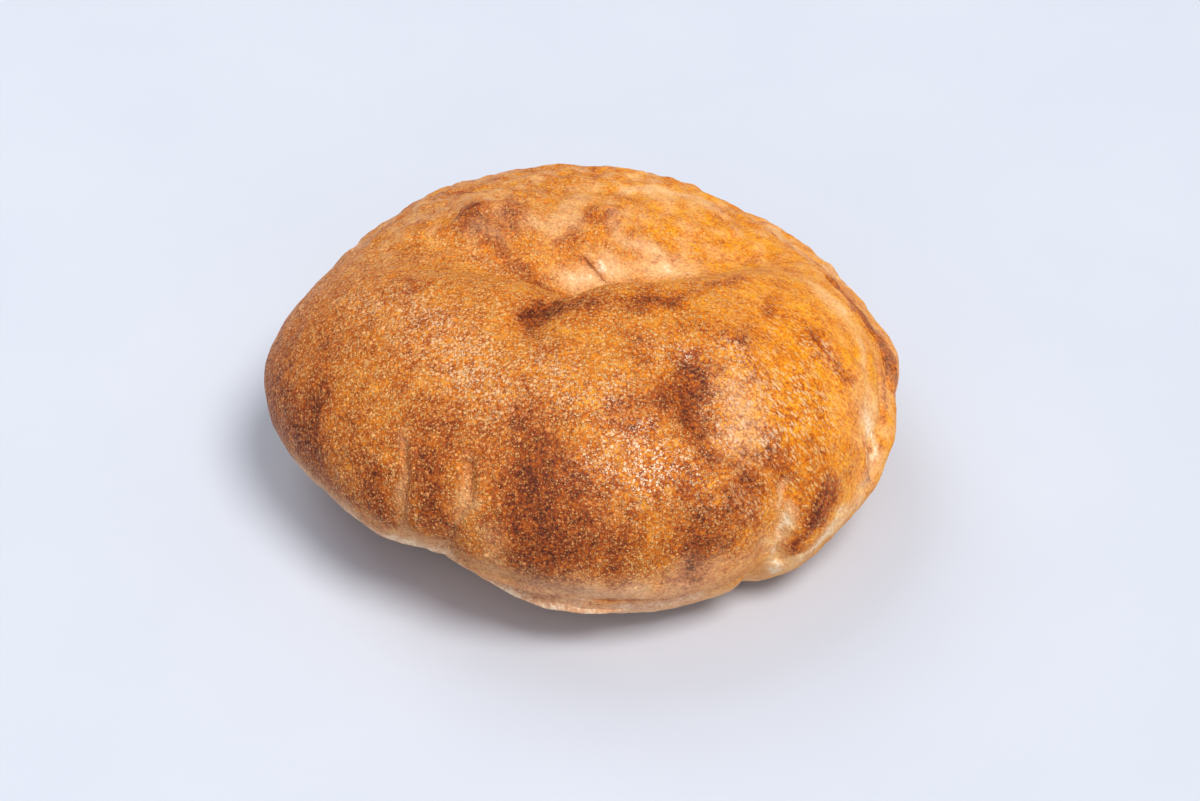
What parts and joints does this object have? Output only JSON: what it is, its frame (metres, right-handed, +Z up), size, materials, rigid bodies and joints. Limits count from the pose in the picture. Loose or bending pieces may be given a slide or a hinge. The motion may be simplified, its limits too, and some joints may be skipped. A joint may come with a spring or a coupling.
{
  "type": "lepinja flatbread",
  "caption": "Small round puffed flatbread with a browned blistered crust, a sunken hollow behind the middle, creases down its front and a seam rim at one side.",
  "frame": {"origin": "middle of the bread's bounding box at its flat base, on the surface that it rests on", "axes": "+Z up, the front with the creases towards -Y, and the wider side-to-side span along X with the seam rim at +X"},
  "size_m": [0.16, 0.152, 0.064],
  "materials": {
    "crust": "baked bread crust, golden brown with darker toasted patches, satin with glossy areas"
  },
  "bodies": {
    "root": {"lepinja": "crust"}
  },
  "joints": []
}
